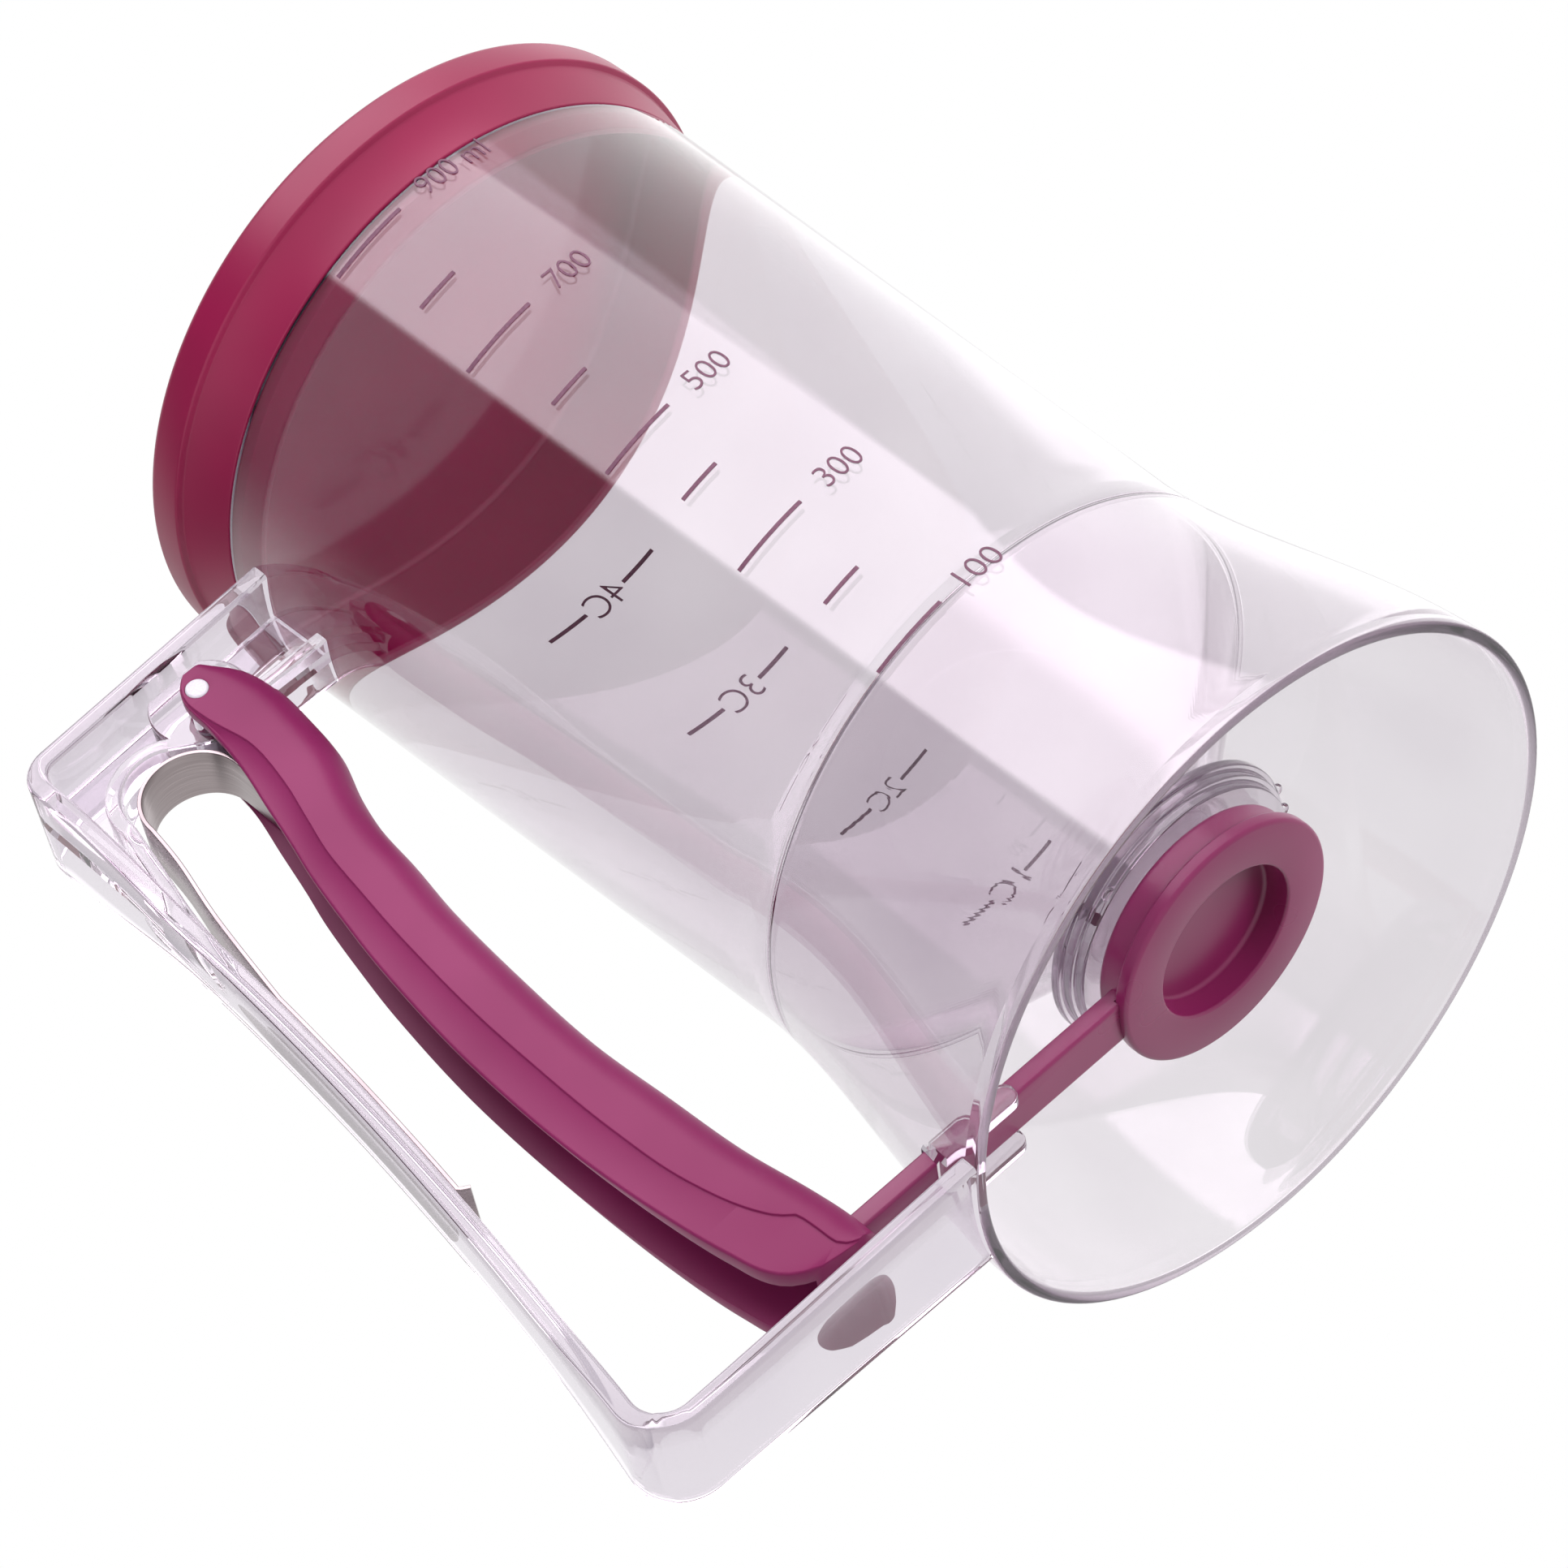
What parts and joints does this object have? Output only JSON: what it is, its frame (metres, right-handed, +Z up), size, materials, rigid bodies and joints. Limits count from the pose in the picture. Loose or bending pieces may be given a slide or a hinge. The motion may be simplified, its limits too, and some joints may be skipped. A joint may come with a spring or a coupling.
{
  "type": "squeeze-handle batter dispenser",
  "caption": "Clear measuring jug on a flared skirt with a magenta push-in lid; squeezing the sprung lever in its handle slides a flat valve off the funnel's spout.",
  "frame": {"origin": "centre of the skirt's foot, on the counter the jug stands on", "axes": "+Z up through the spout and the tank; the handle is towards -X; +Y completes a right-handed frame, and the printed measuring scale faces -Y"},
  "size_m": [0.1703, 0.112, 0.1819],
  "materials": {
    "clear_plastic": "clear injection-moulded styrene, polished",
    "pin_plastic": "milky moulded plastic",
    "spring_steel": "bent stainless strip",
    "magenta_plastic": "opaque injection-moulded plastic, semi-gloss",
    "soft_seal": "soft moulded silicone"
  },
  "bodies": {
    "container": {"tank": "clear_plastic", "base_skirt": "clear_plastic", "nozzle_ring": "clear_plastic", "handle_frame": "clear_plastic", "pivot_pin": "pin_plastic", "return_spring": "spring_steel"},
    "squeeze_lever": {"lever": "magenta_plastic"},
    "valve": {"valve_cap": "magenta_plastic", "pull_arm": "magenta_plastic", "valve_seal": "soft_seal"},
    "cover": {"lid": "magenta_plastic"}
  },
  "joints": [
    {"name": "lever_pivot", "type": "hinge", "parent": "container", "child": "squeeze_lever", "pos_m": [-0.07, 0, 0.1504], "axis": [0, 1, 0], "range_deg": [0, 8], "stiffness_Nm_per_rad": 2, "springref_deg": -5.73, "deforming": ["return_spring"]},
    {"name": "valve_slide", "type": "slide", "parent": "container", "child": "valve", "axis": [-1, 0, 0], "range_m": [0, 0.0196]},
    {"name": "lid_lift", "type": "slide", "parent": "container", "child": "cover", "axis": [0, 0, 1], "range_m": [0, 0.03]}
  ],
  "couplings": [
    {"joint": "valve_slide", "follows": "lever_pivot", "m_per_rad": 0.14}
  ]
}
